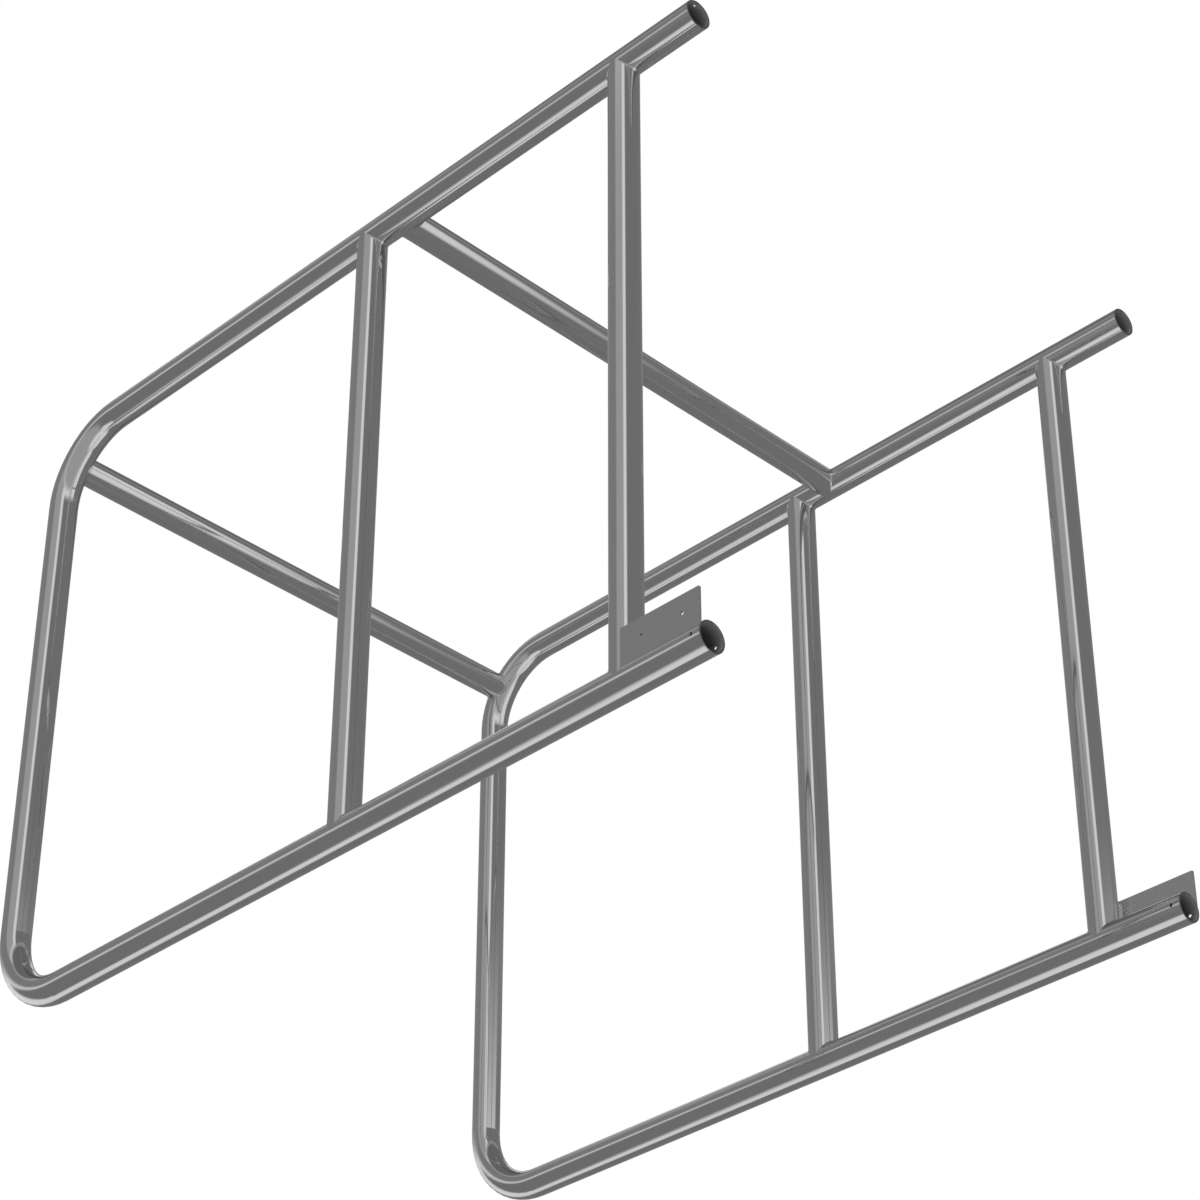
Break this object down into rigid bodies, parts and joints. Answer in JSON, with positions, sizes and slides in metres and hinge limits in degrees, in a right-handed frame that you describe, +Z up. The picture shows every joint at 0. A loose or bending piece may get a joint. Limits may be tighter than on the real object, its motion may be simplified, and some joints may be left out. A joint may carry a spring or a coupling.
{
  "type": "welded tube stand",
  "caption": "Rigid welded stand of round polished tube: two U-bent side frames with uprights, joined by cross tubes, open at one end.",
  "frame": {"origin": "on the ground, midway along and across the outer box", "axes": "+X along the rails from the closed, bent end towards the open tube ends; +Y from the near side frame to the far one; +Z up"},
  "size_m": [1, 0.697, 0.75],
  "materials": {
    "polished_tube": "mirror-polished stainless steel",
    "plate_steel": "polished stainless steel sheet",
    "dressed_weld": "ground and polished stainless weld"
  },
  "bodies": {
    "root": {"near_side_tube": "polished_tube", "near_mid_upright": "polished_tube", "near_end_upright": "polished_tube", "far_side_tube": "polished_tube", "far_mid_upright": "polished_tube", "far_end_upright": "polished_tube", "top_cross_tube": "polished_tube", "closed_end_cross_tube": "polished_tube", "near_hole_plate": "plate_steel", "far_hole_plate": "plate_steel", "near_mid_upright_top_weld": "dressed_weld", "near_mid_upright_bottom_weld": "dressed_weld", "near_end_upright_top_weld": "dressed_weld", "near_end_upright_bottom_weld": "dressed_weld", "top_cross_tube_near_weld": "dressed_weld", "closed_end_cross_tube_near_weld": "dressed_weld", "near_plate_rail_weld": "dressed_weld", "near_plate_upright_weld": "dressed_weld", "far_mid_upright_top_weld": "dressed_weld", "far_mid_upright_bottom_weld": "dressed_weld", "far_end_upright_top_weld": "dressed_weld", "far_end_upright_bottom_weld": "dressed_weld", "top_cross_tube_far_weld": "dressed_weld", "closed_end_cross_tube_far_weld": "dressed_weld", "far_plate_rail_weld": "dressed_weld", "far_plate_upright_weld": "dressed_weld"}
  },
  "joints": []
}
